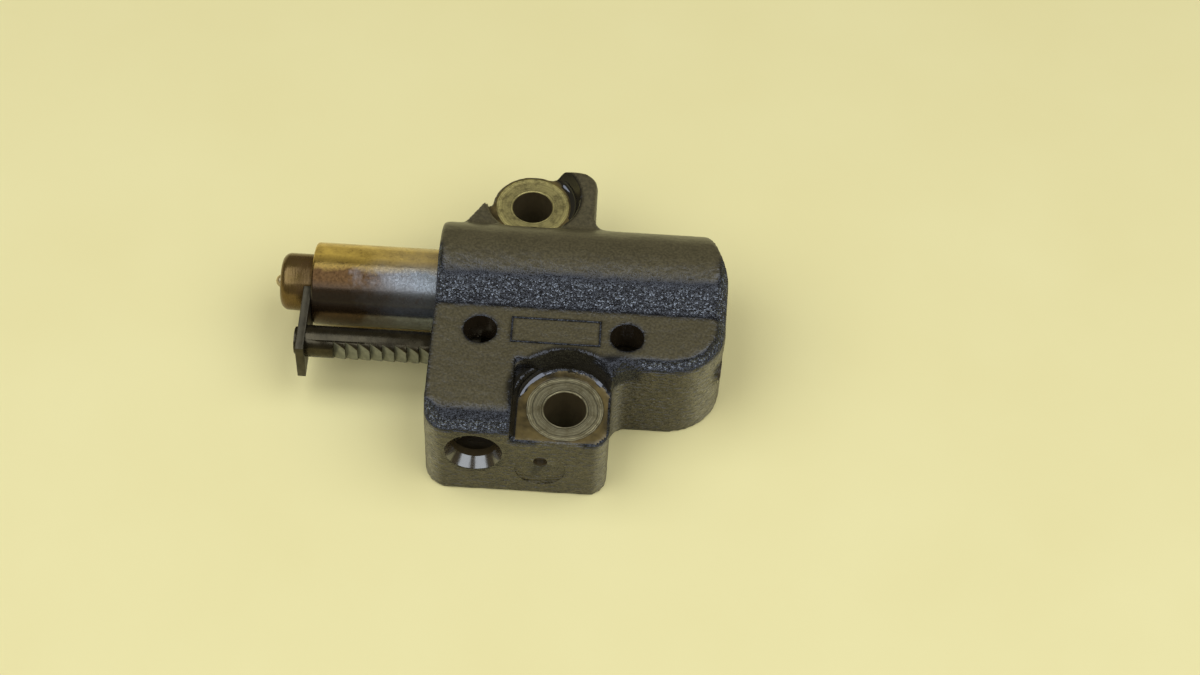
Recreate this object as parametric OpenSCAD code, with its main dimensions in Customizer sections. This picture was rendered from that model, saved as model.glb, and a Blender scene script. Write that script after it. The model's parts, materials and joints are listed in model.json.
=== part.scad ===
// Hydraulic timing chain tensioner with an external ratchet rack.
// A cast iron housing carries a sliding plunger. A link plate on the plunger's nose pulls
// a toothed rack along beside it, and a pivoting pawl stops the rack from going back in.
// Millimetres. The origin is on the front bolt's axis at the mounting face, X runs from
// the plunger's nose to the closed end, Y runs back to the rear ear, and Z is up.

/* [Housing] */
// front bolt axis to the end face that the plunger leaves by
body_left = 21.7; // [20.5:0.1:24]
// front bolt axis to the closed end face
body_right = 24.6; // [24:0.1:30]
// front bolt axis to the front face
block_front = 6.7; // [6.3:0.1:9]
// front bolt axis to the bolt block's right side
block_right = 7.1; // [6.5:0.1:7.5]
// front bolt axis to the front wall of the shelf beside the bolt block
shelf_front = 6.4; // [5.5:0.1:7]
// height of the flat step in front of the hump
step_h = 17.7; // [17:0.1:20]
// radius of the hump around the plunger
hump_r = 11.3; // [11:0.1:13]
// cast radius along the top edges
edge_r = 2.0; // [1:0.1:2.5]
// plan radius of the left front corner
corner_left_r = 4.2; // [3:0.1:5]
// plan radius of the right front corner of the bolt block
corner_right_r = 3.2; // [2.8:0.1:4]
// plan radius of the inside corner between block and shelf
corner_inside_r = 3.0; // [2.2:0.1:3.5]
// plan radius of the closed end's front corner
corner_end_r = 8.8; // [5:0.1:9]
// how far the closed end tapers in towards the back
end_taper = 4.1; // [2:0.1:4.5]
// thickness of the closed end behind the plunger's bore
end_wall = 5.1; // [4.6:0.1:6]

/* [Bolts] */
// clearance hole for an M6 bolt
bolt_hole_d = 6.6; // [6.3:0.1:7]
// height of the two bolt seats
seat_h = 14.0; // [13.7:0.1:15]
// diameter of the machined ring around each bolt hole
seat_d = 12.1; // [10.5:0.1:12.6]
// front bolt axis to the rear bolt axis, along the body, to the left
ear_left = 7.7; // [6:0.1:9]
// front bolt axis to the rear bolt axis, across the body
ear_back = 40.5; // [40:0.1:43]
// height of the ear's uncut casting
ear_h = 16.8; // [16:0.1:18]
// radius of the ear around its bolt hole
ear_r = 6.6; // [6.2:0.1:7.5]

/* [Plunger] */
// diameter of the plunger
plunger_d = 13.3; // [12.5:0.1:13.6]
// height of the plunger's and the rack's axes above the mounting face
axis_h = 10.0; // [9.6:0.1:10.2]
// front bolt axis to the plunger's axis, across the body
plunger_back = 24.8; // [24.5:0.1:25.5]
// plunger showing outside the housing when it is right out
plunger_out = 20.3; // [19.9:0.1:22]
// diameter of the nose cap and of the link plate's eye
nose_d = 9.3; // [8.5:0.1:10.5]
// length of the nose cap
nose_len = 4.0; // [3.4:0.1:5]
// diameter of the spigot that carries plate and cap
spigot_d = 5.0; // [4.5:0.1:5.4]
// bore of the hollow plunger
plunger_bore_d = 9.8; // [9.6:0.1:10.2]
// thickness of the plunger's closed end
plunger_wall = 4.0; // [3.5:0.1:5]

/* [Ratchet] */
// diameter of the rack
rack_d = 5.1; // [4.7:0.1:5.3]
// front bolt axis to the rack's axis, across the body
rack_back = 13.0; // [12.8:0.1:13.2]
// pitch of the rack's teeth
tooth_pitch = 1.95; // [1.9:0.01:1.98]
// depth of the rack's teeth
tooth_depth = 0.85; // [0.6:0.05:0.9]
// number of teeth, two more than the plunger's travel has
tooth_count = 12; // [11:1:12]
// thickness of the link plate
plate_t = 1.35; // [1.1:0.05:1.6]
// thickness of the pawl
pawl_t = 4.2; // [3:0.1:4.4]
// diameter of the pawl's pivot pin
pin_d = 2.0; // [1.6:0.1:2.2]
// angle by which the pawl is held off the teeth
pawl_lift = 6.0; // [5.5:0.1:7]
// pawl's pivot to the tooth that it catches, along the rack
pawl_reach = 9.0; // [8.8:0.1:9.4]
// pawl's pivot to the rack's axis, across the body
pawl_offset = 4.8; // [4.7:0.1:5]
// mouth of the countersunk window in front of the pawl
window_d = 9.0; // [8:0.1:9.2]
// front bolt axis to the middle of the window, to the left
window_left = 13.75; // [13.4:0.05:14.1]
// diameter of the two holes in the step
top_hole_d = 5.3; // [4.5:0.1:5.5]
// front bolt axis to the left hole in the step
hole_left = 14.1; // [13.8:0.1:14.4]
// front bolt axis to the right hole in the step
hole_right = 9.0; // [8.8:0.1:10]

/* [Valve and springs] */
// diameter of the check ball
ball_d = 3.6; // [3.2:0.1:3.8]
// thickness of the valve seat
seat_t = 1.6; // [1.4:0.1:2]
// sheet thickness of the valve cage
cage_t = 0.5; // [0.4:0.05:0.6]
// lift of the check ball
ball_lift = 0.4; // [0.3:0.05:0.5]
// wire of the plunger spring
spring_wire = 1.1; // [0.9:0.05:1.15]
// coils of the plunger spring
spring_turns = 15; // [12:1:16]

/* [Clearances] */
// radial running clearance of the plunger
plunger_clear = 0.04; // [0.02:0.01:0.08]
// radial running clearance of the rack
rack_clear = 0.05; // [0.02:0.01:0.08]
// radial clearance of pieces that are put together and stay so
seat_clear = 0.02; // [0.01:0.01:0.05]
// end clearance of springs
spring_clear = 0.05; // [0.02:0.01:0.1]

/* [Hidden] */
$fn = 96;
eps = 0.05;
bore_r = plunger_d / 2 + plunger_clear;
rack_r = rack_d / 2;
rack_bore_r = rack_r + rack_clear;
eye_r = nose_d / 2 - 1.05;
hump_top = axis_h + hump_r;
body_back = plunger_back + hump_r;
bore_end = body_right - end_wall;

// travel: the last tooth but one stands at the pawl when the plunger is right out
stroke = (tooth_count - 2) * tooth_pitch;
shoulder_x = -body_left - plunger_out;
flange_x = bore_end - seat_t - cage_t;
plunger_end = flange_x - stroke - 0.5;

// rack teeth: steep sides face the closed end, on the rack's front
tooth_start = 4.5;
tooth_x0 = shoulder_x + tooth_start;
rack_end = tooth_x0 + tooth_count * tooth_pitch;
crest_y = rack_back - rack_r + 0.3;
root_y = crest_y + tooth_depth;
// neck of the rack that is riveted through the plate
neck_r = 1.6;

// pawl: drawn in mesh with the valley at pawl_x, then turned off by pawl_lift
pawl_x = tooth_x0 + (tooth_count - 2) * tooth_pitch;
tip_gap = 0.4;
pin_x = pawl_x + pawl_reach;
pin_y = rack_back - pawl_offset;
hub_r = 1.9;

// window, cavity behind it, and the slot that the pawl swings in
window_x = -window_left;
window_z = axis_h + 0.3;
window_wall = 3.0;
window_sink = 1.7;
window_neck_d = window_d - 2.0;
cavity_front = -block_front + window_wall;
cavity_left = pawl_x - 0.9;
slot_half = pawl_t / 2 + 0.3;
cavity_right = pin_x - 0.6;
cavity_back = rack_back - rack_bore_r - 0.6;
cavity_floor = window_z - window_d / 2 + 0.1;
cavity_roof = axis_h + slot_half + 0.8;
slot_right = pin_x + hub_r + 0.5;
slot_front = pin_y - hub_r - 0.7;
slot_back = root_y + 0.2;

// raised corner of the rear ear
wing_x = 2.9;
wing_r = 3.2;
wing_back = ear_back + ear_r - 0.5;
wing_edge_r = edge_r / 2;

// bolt seat pocket
pocket_low_r = 7.5;
pocket_top_r = 8.6;
pocket_left = 8.2;
pocket_back = 6.4;

// spring and valve
spring_r = plunger_bore_d / 2 - spring_wire / 2 - 0.3;
plunger_floor = shoulder_x + plunger_wall;
seat_x = bore_end - seat_t;
seat_hole_d = 0.72 * ball_d;
ball_r = ball_d / 2;
ball_x = seat_x - sqrt(ball_r * ball_r - seat_hole_d * seat_hole_d / 4) - 0.02;
cage_r = ball_r + seat_t;
cage_x = ball_x - ball_r - 3 * ball_lift;

// a cylinder that lies along X, from x0 to x1
module along_x(x0, x1, y, z, r) {
    translate([x0, y, z])
        rotate([0, 90, 0])
            cylinder(r = r, h = x1 - x0);
}

// a turned piece about an axis along X; the profile is drawn as [radius, distance]
module turned_x(x, y, z) {
    translate([x, y, z])
        rotate([0, 90, 0])
            rotate_extrude()
                children();
}

// a section drawn in Y and Z, drawn out along X
module section_x(x0, x1) {
    translate([x0, 0, 0])
        rotate([90, 0, 90])
            linear_extrude(x1 - x0)
                children();
}

// what a round corner takes off at [x, y]; dx and dy point into the material
module corner_cut(x, y, dx, dy, r) {
    difference() {
        translate([dx > 0 ? x - eps : x - r, dy > 0 ? y - eps : y - r])
            square(r + eps);
        translate([x + dx * r, y + dy * r])
            circle(r);
    }
}

// what a round takes off a straight top edge along X; dy points into the material
module edge_cut_x(x0, x1, y, dy, z, r) {
    difference() {
        translate([x0, dy > 0 ? y - eps : y - r, z - r])
            cube([x1 - x0, r + eps, r + eps]);
        along_x(x0 - eps, x1 + eps, y + dy * r, z - r, r);
    }
}

// what a round takes off a curved top edge about [x, y]; side +1 for an outside corner
module edge_cut_arc(x, y, corner_r, side, from, z, r) {
    ring_r = corner_r - side * r;
    translate([x, y, 0])
        rotate([0, 0, from])
            rotate_extrude(angle = 90)
                difference() {
                    translate([side > 0 ? ring_r : corner_r - eps, z - r])
                        square(r + eps);
                    translate([ring_r, z - r])
                        circle(r);
                }
}

// wire wound about Z from 0 to length, with one closed turn at each end
module coil(radius, wire, length, turns, sides, steps) {
    wire_r = wire / 2;
    end_pitch = wire * 1.06;
    mid_pitch = (length - wire - 2 * end_pitch) / (turns - 2);
    count = turns * steps;
    function height(t) = t < 1 ? t * end_pitch
        : t < turns - 1 ? end_pitch + (t - 1) * mid_pitch
        : end_pitch + (turns - 2) * mid_pitch + (t - turns + 1) * end_pitch;
    points = [
        for (i = [0 : count])
            for (j = [0 : sides - 1])
                let (a = 360 * i / steps, b = 360 * j / sides, r = radius + wire_r * cos(b))
                    [r * cos(a), r * sin(a), wire_r + height(i / steps) + wire_r * sin(b)]
    ];
    skin = [
        for (i = [0 : count - 1])
            for (j = [0 : sides - 1])
                let (k = (j + 1) % sides)
                    [i * sides + j, i * sides + k, (i + 1) * sides + k, (i + 1) * sides + j]
    ];
    first = [for (j = [0 : sides - 1]) sides - 1 - j];
    last = [for (j = [0 : sides - 1]) count * sides + j];
    polyhedron(points, concat([first], skin, [last]), convexity = 10);
}

// outline of the body seen from above
module body_plan() {
    difference() {
        union() {
            translate([-body_left, -block_front])
                square([body_left + block_right, block_front + plunger_back]);
            translate([-body_left, shelf_front])
                square([body_left + body_right, body_back - shelf_front]);
            difference() {
                translate([block_right - eps, shelf_front - corner_inside_r])
                    square([corner_inside_r + eps, corner_inside_r + eps]);
                translate([block_right + corner_inside_r, shelf_front - corner_inside_r])
                    circle(corner_inside_r);
            }
        }
        corner_cut(-body_left, -block_front, 1, 1, corner_left_r);
        corner_cut(block_right, -block_front, -1, 1, corner_right_r);
        corner_cut(body_right, shelf_front, -1, 1, corner_end_r);
        // the closed end tapers in towards the back
        polygon([
            [body_right + eps, plunger_back - 2],
            [body_right + eps, body_back + eps],
            [body_right - end_taper - 2, body_back + eps],
            [body_right - 0.84 * end_taper, body_back - 2]
        ]);
        corner_cut(-body_left, body_back, 1, -1, edge_r);
    }
}

// outline of the rear ear, from inside the hump to its round end
module ear_plan() {
    web_x = -body_left + 2.8;
    web_y = body_back - 2.9;
    difference() {
        union() {
            translate([-ear_left, ear_back])
                circle(ear_r);
            polygon([
                [web_x, plunger_back],
                [web_x, web_y],
                [-ear_left - 0.8 * ear_r, ear_back + 0.375 * ear_r],
                [-ear_left, wing_back],
                [wing_x, wing_back],
                [wing_x, plunger_back]
            ]);
            difference() {
                translate([wing_x - eps, body_back - 4])
                    square([2, 4]);
                translate([wing_x + 2, body_back])
                    circle(2);
            }
        }
        corner_cut(wing_x, wing_back, -1, -1, wing_r);
    }
}

// the rear ear, with its raised corner rounded
module ear() {
    difference() {
        linear_extrude(ear_h)
            ear_plan();
        edge_cut_x(-ear_left, wing_x - wing_r, wing_back, -1, ear_h, wing_edge_r);
        edge_cut_arc(wing_x - wing_r, wing_back - wing_r, wing_r, 1, 0, ear_h, wing_edge_r);
        translate([wing_x, 0, 0])
            rotate([0, 0, 90])
                edge_cut_x(body_back + 0.3, wing_back - wing_r, 0, 1, ear_h, wing_edge_r);
        translate([-ear_left, ear_back, seat_h])
            cylinder(r1 = ear_r + 0.4, r2 = ear_r + 1.3, h = ear_h - seat_h + eps);
    }
}

// the casting before any machining
module casting() {
    // foot radius between the step and the hump
    foot_r = 1.2;
    foot_y = plunger_back - sqrt(pow(hump_r + foot_r, 2) - pow(step_h + foot_r - axis_h, 2));
    touch = hump_r / (hump_r + foot_r);
    touch_y = plunger_back + (foot_y - plunger_back) * touch;
    touch_z = axis_h + (step_h + foot_r - axis_h) * touch;
    difference() {
        linear_extrude(step_h)
            intersection() {
                body_plan();
                translate([-body_left - 1, -block_front - 1])
                    square([body_left + body_right + 2, block_front + 1 + plunger_back]);
            }
        edge_cut_x(-body_left + corner_left_r, block_right - corner_right_r, -block_front, 1, step_h, edge_r);
        edge_cut_arc(-body_left + corner_left_r, -block_front + corner_left_r, corner_left_r, 1, 180, step_h, edge_r);
        edge_cut_arc(block_right + corner_inside_r, shelf_front - corner_inside_r, corner_inside_r, -1, 90, step_h, edge_r);
        edge_cut_x(block_right + corner_inside_r, body_right - corner_end_r, shelf_front, 1, step_h, edge_r);
        edge_cut_arc(body_right - corner_end_r, shelf_front + corner_end_r, corner_end_r, 1, 270, step_h, edge_r);
        translate([body_right, 0, 0])
            rotate([0, 0, 90])
                edge_cut_x(shelf_front + corner_end_r, plunger_back, 0, 1, step_h, edge_r);
    }
    linear_extrude(axis_h)
        body_plan();
    intersection() {
        linear_extrude(hump_top + 1)
            body_plan();
        turned_x(-body_left, plunger_back, axis_h)
            difference() {
                square([hump_r, body_left + body_right]);
                corner_cut(hump_r, 0, -1, 1, 0.8);
                corner_cut(hump_r, body_left + body_right, -1, -1, edge_r);
            }
    }
    section_x(-body_left, body_right - edge_r)
        difference() {
            polygon([
                [foot_y, step_h - 1],
                [foot_y, step_h],
                [touch_y, touch_z],
                [touch_y + 1, step_h - 1]
            ]);
            translate([foot_y, step_h + foot_r])
                circle(foot_r);
        }
    ear();
    label_frame();
}

// bare raised frame on the step, between the two holes
module label_frame() {
    frame_w = 14.2;
    frame_d = 5.0;
    frame_line = 0.5;
    frame_x = (hole_right - hole_left) / 2 + 0.35;
    frame_y = rack_back - 1;
    translate([frame_x - frame_w / 2, frame_y - frame_d / 2, step_h - eps])
        difference() {
            cube([frame_w, frame_d, 0.25 + eps]);
            translate([frame_line, frame_line, -eps])
                cube([frame_w - 2 * frame_line, frame_d - 2 * frame_line, 1]);
        }
}

// pocket for the front bolt's head, open to the front and the right
module front_pocket() {
    deep = step_h - seat_h;
    translate([0, 0, seat_h])
        cylinder(r1 = pocket_low_r, r2 = pocket_top_r, h = deep + eps);
    translate([-pocket_left, -block_front - 1, seat_h])
        cube([pocket_left, block_front + 1 + pocket_back, deep + 1]);
    translate([0, 0, step_h])
        cylinder(r = pocket_top_r, h = 2);
    translate([0, -block_front - 1, seat_h])
        cube([block_right + 1, block_front + 1, deep + 1]);
}

// one bolt hole with its machined ring
module bolt_hole(x, y) {
    translate([x, y, -1])
        cylinder(d = bolt_hole_d, h = ear_h + 2);
    translate([x, y, seat_h - 0.15])
        cylinder(d = seat_d, h = 1);
    translate([x, y, seat_h - 0.15 - 0.3])
        cylinder(d1 = bolt_hole_d, d2 = bolt_hole_d + 0.6, h = 0.3 + eps);
}

// window, pawl cavity and the pin's hole
module pawl_room() {
    translate([window_x, cavity_front + eps, window_z])
        rotate([90, 0, 0])
            cylinder(d = window_neck_d, h = window_wall + 1);
    translate([window_x, -block_front + window_sink, window_z])
        rotate([90, 0, 0])
            cylinder(d1 = window_neck_d, d2 = 2 * window_d - window_neck_d, h = 2 * window_sink);
    translate([cavity_left, cavity_front, cavity_floor])
        cube([cavity_right - cavity_left, cavity_back - cavity_front, cavity_roof - cavity_floor]);
    translate([cavity_left, cavity_front, cavity_floor - 1.3])
        cube([cavity_right - cavity_left, 3.0, 2]);
    translate([cavity_left, slot_front, axis_h - slot_half])
        cube([slot_right - cavity_left, slot_back - slot_front, 2 * slot_half]);
    translate([pin_x, pin_y, -1])
        cylinder(d = pin_d + 2 * seat_clear, h = axis_h + slot_half + 4);
}

// one iron casting, bored, drilled and spot faced
module housing() {
    color([0.25, 0.23, 0.17])
        difference() {
            casting();
            front_pocket();
            translate([-ear_left, ear_back, seat_h])
                cylinder(r = ear_r + 0.4, h = ear_h);
            bolt_hole(0, 0);
            bolt_hole(-ear_left, ear_back);
            along_x(-body_left - 1, bore_end, plunger_back, axis_h, bore_r);
            along_x(-body_left - 1, body_right + 1, rack_back, axis_h, rack_bore_r);
            pawl_room();
            // holes in the step, down to the rack
            for (x = [-hole_left, hole_right])
                translate([x, rack_back - 1.35, axis_h - 1])
                    cylinder(d = top_hole_d, h = step_h);
            // oil feed from the mounting face to the room behind the valve
            along_x(bore_end - eps, bore_end + 2.6, plunger_back, axis_h, 2.5);
            translate([bore_end + 1.3, plunger_back, -1])
                cylinder(d = 2.4, h = axis_h + 1);
            // shallow pit and round mark on the front face
            translate([-3.35, -block_front + 1, axis_h - 1.4])
                rotate([90, 0, 0])
                    cylinder(d = 2.2, h = 2);
            translate([-3.35, -block_front + 0.15, axis_h - 3.4])
                rotate([90, 0, 0])
                    cylinder(d = 8, h = 1);
        }
}

// hollow steel plunger with a spigot on its closed end
module plunger() {
    spigot_end = plate_t + nose_len - 1.2;
    tip_r = 1.1;
    length = plunger_end - shoulder_x;
    color([0.62, 0.58, 0.48])
        turned_x(shoulder_x, plunger_back, axis_h)
            difference() {
                union() {
                    difference() {
                        square([plunger_d / 2, length]);
                        corner_cut(plunger_d / 2, 0, -1, 1, 0.5);
                        corner_cut(plunger_d / 2, length, -1, -1, 0.5);
                    }
                    translate([0, -spigot_end])
                        square([spigot_d / 2, spigot_end + eps]);
                    translate([0, -plate_t - nose_len])
                        square([tip_r, nose_len]);
                    intersection() {
                        translate([0, -plate_t - nose_len])
                            circle(tip_r);
                        translate([0, -plate_t - nose_len - 2])
                            square([2, 3]);
                    }
                }
                translate([0, plunger_wall])
                    square([plunger_bore_d / 2, length]);
            }
}

// turned cap on the spigot, which touches the tensioner arm; the link plate lies in its back
module nose_cap() {
    length = nose_len + plate_t - 0.1;
    color([0.33, 0.28, 0.2])
        difference() {
            turned_x(shoulder_x - plate_t - nose_len, plunger_back, axis_h)
                difference() {
                    square([nose_d / 2, length]);
                    corner_cut(nose_d / 2, 0, -1, 1, 1.4);
                    translate([0, 1.2])
                        square([spigot_d / 2 + seat_clear, length]);
                    translate([0, -1])
                        square([1.1 + seat_clear, length]);
                }
            plate_blank(shoulder_x - plate_t, shoulder_x + 1, seat_clear);
        }
}

// link plate without its holes: an eye around the spigot and an arm to the rack, with room around them
module plate_blank(x0, x1, room) {
    front_y = rack_back - rack_r - 0.95;
    union() {
        along_x(x0, x1, plunger_back, axis_h, eye_r + room);
        section_x(x0, x1)
            polygon([
                [front_y, axis_h + 2.4 + room],
                [plunger_back, axis_h + eye_r - 0.15 + room],
                [plunger_back, axis_h - eye_r + 0.15 - room],
                [front_y, axis_h - 5.0 - room]
            ]);
    }
}

// flat link from the plunger's nose to the rack
module link_plate() {
    color([0.24, 0.22, 0.18])
        difference() {
            plate_blank(shoulder_x - plate_t, shoulder_x, 0);
            along_x(shoulder_x - plate_t - 1, shoulder_x + 1, plunger_back, axis_h, spigot_d / 2 + seat_clear);
            along_x(shoulder_x - plate_t - 1, shoulder_x + 1, rack_back, axis_h, neck_r + seat_clear);
        }
}

// round rack with saw teeth on its front and a riveted neck through the plate
module ratchet_rack() {
    out_y = rack_back - rack_r - 1;
    saw = [
        for (i = [0 : tooth_count - 1])
            let (x = tooth_x0 + i * tooth_pitch)
                each [[x, root_y], [x + tooth_pitch, crest_y]]
    ];
    color([0.27, 0.25, 0.2])
        difference() {
            union() {
                along_x(shoulder_x, rack_end, rack_back, axis_h, rack_r);
                along_x(shoulder_x - plate_t, shoulder_x + eps, rack_back, axis_h, neck_r);
                along_x(shoulder_x - plate_t - 0.5, shoulder_x - plate_t, rack_back, axis_h, neck_r + 0.6);
            }
            translate([0, 0, axis_h - rack_r - 1])
                linear_extrude(rack_d + 2)
                    polygon(concat([[tooth_x0, out_y]], saw, [[rack_end + 1, crest_y], [rack_end + 1, out_y]]));
        }
}

// coil spring between the plunger's floor and the valve
module plunger_spring() {
    color([0.5, 0.5, 0.48])
        translate([plunger_floor + spring_clear, plunger_back, axis_h])
            rotate([0, 90, 0])
                coil(spring_r, spring_wire, flange_x - plunger_floor - 2 * spring_clear, spring_turns, 8, 24);
}

// steel disc with the feed hole that the ball closes
module valve_seat() {
    color([0.6, 0.58, 0.52])
        turned_x(seat_x, plunger_back, axis_h)
            translate([seat_hole_d / 2, 0])
                square([bore_r - seat_clear - seat_hole_d / 2, seat_t]);
}

// pressed sheet cup that keeps the ball and its spring
module valve_cage() {
    depth = seat_x - cage_x;
    color([0.66, 0.64, 0.58])
        difference() {
            turned_x(cage_x - cage_t, plunger_back, axis_h) {
                square([cage_r, cage_t]);
                translate([cage_r - cage_t, 0])
                    square([cage_t, depth + cage_t]);
                translate([cage_r - cage_t, depth])
                    square([bore_r - 0.6 - cage_r + cage_t, cage_t]);
            }
            for (a = [0 : 120 : 240])
                translate([cage_x + depth / 2, plunger_back, axis_h])
                    rotate([a, 0, 0])
                        cylinder(d = 1.6, h = cage_r + 1);
        }
}

// ball of the check valve
module check_ball() {
    color([0.75, 0.75, 0.75])
        translate([ball_x, plunger_back, axis_h])
            sphere(ball_r);
}

// light spring that seats the ball
module check_spring() {
    color([0.5, 0.5, 0.48])
        translate([cage_x + 0.02, plunger_back, axis_h])
            rotate([0, 90, 0])
                coil(0.9, 0.25, ball_x - cage_x - sqrt(ball_r * ball_r - 0.81) - 0.12, 4, 6, 16);
}

// pivoting pawl, held off the teeth
module pawl() {
    tip_x = pawl_x + tip_gap;
    // the arm ends inside the hub's ring
    arm_x = pin_x - pin_d / 2 - 0.3;
    arm_half = sqrt(pow(hub_r - 0.05, 2) - pow(pin_x - arm_x, 2));
    function ramp(x) = root_y - tooth_depth * (x - pawl_x) / tooth_pitch - 0.15;
    color([0.3, 0.3, 0.3])
        translate([pin_x, pin_y, axis_h - pawl_t / 2])
            rotate([0, 0, pawl_lift])
                difference() {
                    union() {
                        cylinder(r = hub_r, h = pawl_t);
                        translate([-pin_x, -pin_y, 0])
                            linear_extrude(pawl_t)
                                polygon([
                                    [tip_x, ramp(tip_x)],
                                    [pawl_x + 1.6, ramp(pawl_x + 1.6)],
                                    [pawl_x + 2.4, crest_y - 0.75],
                                    [arm_x, pin_y + arm_half],
                                    [arm_x, pin_y - arm_half],
                                    [pawl_x + 2.4, pin_y - 1.6],
                                    [tip_x, pin_y - 0.8]
                                ]);
                    }
                    translate([0, 0, -1])
                        cylinder(r = pin_d / 2 + 0.04, h = pawl_t + 2);
                }
}

// pivot pin, pressed in from the mounting face
module pawl_pin() {
    color([0.55, 0.55, 0.53])
        translate([pin_x, pin_y, 0.8])
            cylinder(d = pin_d, h = axis_h + slot_half + pin_d);
}

// small spring from the front wall to the pawl
module pawl_spring() {
    spring_x = pawl_x + 0.45 * pin_d;
    back_y = pin_y - 1.1 * pin_d;
    color([0.5, 0.5, 0.48])
        translate([spring_x, cavity_front + spring_clear, axis_h])
            rotate([-90, 0, 0])
                coil(0.6 * pin_d, 0.2 * pin_d, back_y - cavity_front - 2 * spring_clear, 9, 6, 16);
}

housing();
plunger();
nose_cap();
link_plate();
ratchet_rack();
plunger_spring();
valve_seat();
valve_cage();
check_ball();
check_spring();
pawl();
pawl_pin();
pawl_spring();
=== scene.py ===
"""Looks of a hydraulic timing chain tensioner: cast iron body, ground steel plunger, toothed rack."""

import json
import math

import bmesh
import bpy
import numpy
from mathutils import Matrix, Vector, noise

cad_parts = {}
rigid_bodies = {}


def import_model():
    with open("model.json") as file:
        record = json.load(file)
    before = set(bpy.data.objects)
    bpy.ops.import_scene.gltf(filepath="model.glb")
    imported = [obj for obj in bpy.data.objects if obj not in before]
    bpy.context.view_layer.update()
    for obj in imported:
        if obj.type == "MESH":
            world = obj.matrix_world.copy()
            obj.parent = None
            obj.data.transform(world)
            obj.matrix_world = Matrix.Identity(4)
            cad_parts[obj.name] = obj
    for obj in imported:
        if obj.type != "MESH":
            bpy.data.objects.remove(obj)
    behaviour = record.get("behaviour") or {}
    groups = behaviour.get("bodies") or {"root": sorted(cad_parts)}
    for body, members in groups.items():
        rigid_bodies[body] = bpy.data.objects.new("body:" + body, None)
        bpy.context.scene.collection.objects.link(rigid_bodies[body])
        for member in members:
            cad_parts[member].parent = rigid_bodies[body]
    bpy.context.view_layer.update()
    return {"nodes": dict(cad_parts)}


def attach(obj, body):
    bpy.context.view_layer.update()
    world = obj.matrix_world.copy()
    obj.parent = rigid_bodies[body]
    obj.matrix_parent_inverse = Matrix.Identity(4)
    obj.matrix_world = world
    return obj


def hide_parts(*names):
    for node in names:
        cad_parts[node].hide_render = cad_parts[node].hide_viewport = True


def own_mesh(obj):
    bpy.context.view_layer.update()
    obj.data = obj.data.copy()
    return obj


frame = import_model()


# Camera. The part is seen from the front and well above, through a short telephoto lens,
# with the camera tipped a little to one side.
MM = 0.001
LOOK_DOWN = math.radians(53)
TIP = math.radians(3.5)
CAMERA_PLACE = Vector((4.74, -204.27, 303.92)) * MM
FOCAL_LENGTH = 68.64
SENSOR_WIDTH = 36
NEAREST_VIEW = 10 * MM

camera = bpy.data.objects.new("camera", bpy.data.cameras.new("camera"))
bpy.context.scene.collection.objects.link(camera)
camera.data.sensor_width = SENSOR_WIDTH
camera.data.lens = FOCAL_LENGTH
camera.data.clip_start = NEAREST_VIEW
camera.matrix_world = (
    Matrix.Translation(CAMERA_PLACE)
    @ Matrix.Rotation(math.pi / 2 - LOOK_DOWN, 4, "X")
    @ Matrix.Rotation(TIP, 4, "Z")
)
bpy.context.scene.camera = camera


# Housing. One grey iron casting: its skin keeps the sand mould's grain and soft edges.
# The bores, bolt seats and holes are cut into it afterwards, so their edges are sharp.
AXIS_Z = 10.0
PLUNGER_Y = 24.8
RACK_Y = 13.0
LEFT_FACE = -21.7
RIGHT_FACE = 24.6
FRONT_FACE = -6.7
STEP_Z = 17.7
SEAT_Z = 14.0
RING_Z = 13.85
FRONT_BOLT = (0.0, 0.0)
EAR = (-7.7, 40.5)
STEP_HOLES = ((-14.1, 11.65), (9.0, 11.65))
WINDOW = (-13.75, 10.3)
ROUND_MARK = (-3.35, 6.6)
LABEL = (-2.2, 12.0)
PIN = (-9.0, 8.2)
OIL_FEED = (20.8, PLUNGER_Y)
PAWL_LEFT = -18.9
PAWL_RIGHT = -9.6
PAWL_FRONT = -3.7
POCKET_R = 7.5
EAR_SEAT_R = 7.0
RING_R = 6.05
BOLT_HOLE_R = 3.3
PLUNGER_BORE_R = 6.69
RACK_BORE_R = 2.6
WINDOW_R = 3.5
SAND_GRAIN = 0.36
SAND, BORED, RING, SEAT, WET_SHADED = range(5)


def linear(code):
    """Turns an sRGB hex colour into linear RGBA."""
    parts = [int(code[i : i + 2], 16) / 255 for i in (1, 3, 5)]
    return tuple(c / 12.92 if c <= 0.04045 else ((c + 0.055) / 1.055) ** 2.4 for c in parts) + (1.0,)


def add(tree, kind, inputs=None, **settings):
    """Adds a node, sets its settings and inputs, and links the inputs that are sockets. An input's
    key is its name or its number: a mix has its share at 0 and its two ends at 2 and 3 or, in
    colour, at 6 and 7, and a map range has its limits at 1 to 4."""
    node = tree.nodes.new(kind)
    for key, value in settings.items():
        setattr(node, key, value)
    for key, value in (inputs or {}).items():
        if isinstance(value, bpy.types.NodeSocket):
            tree.links.new(value, node.inputs[key])
        else:
            node.inputs[key].default_value = value
    return node


def surface(name, roughness=0.5, metallic=0.0):
    """Starts a material: its tree, its shader and the object's coordinates in millimetres."""
    material = bpy.data.materials.new(name)
    material.use_nodes = True
    tree = material.node_tree
    shader = tree.nodes["Principled BSDF"]
    shader.inputs["Roughness"].default_value = roughness
    shader.inputs["Metallic"].default_value = metallic
    place = add(tree, "ShaderNodeTexCoord").outputs["Object"]
    scaled = add(tree, "ShaderNodeVectorMath", {0: place, 1: (1 / MM,) * 3}, operation="MULTIPLY")
    return material, tree, shader, scaled.outputs["Vector"]


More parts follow.
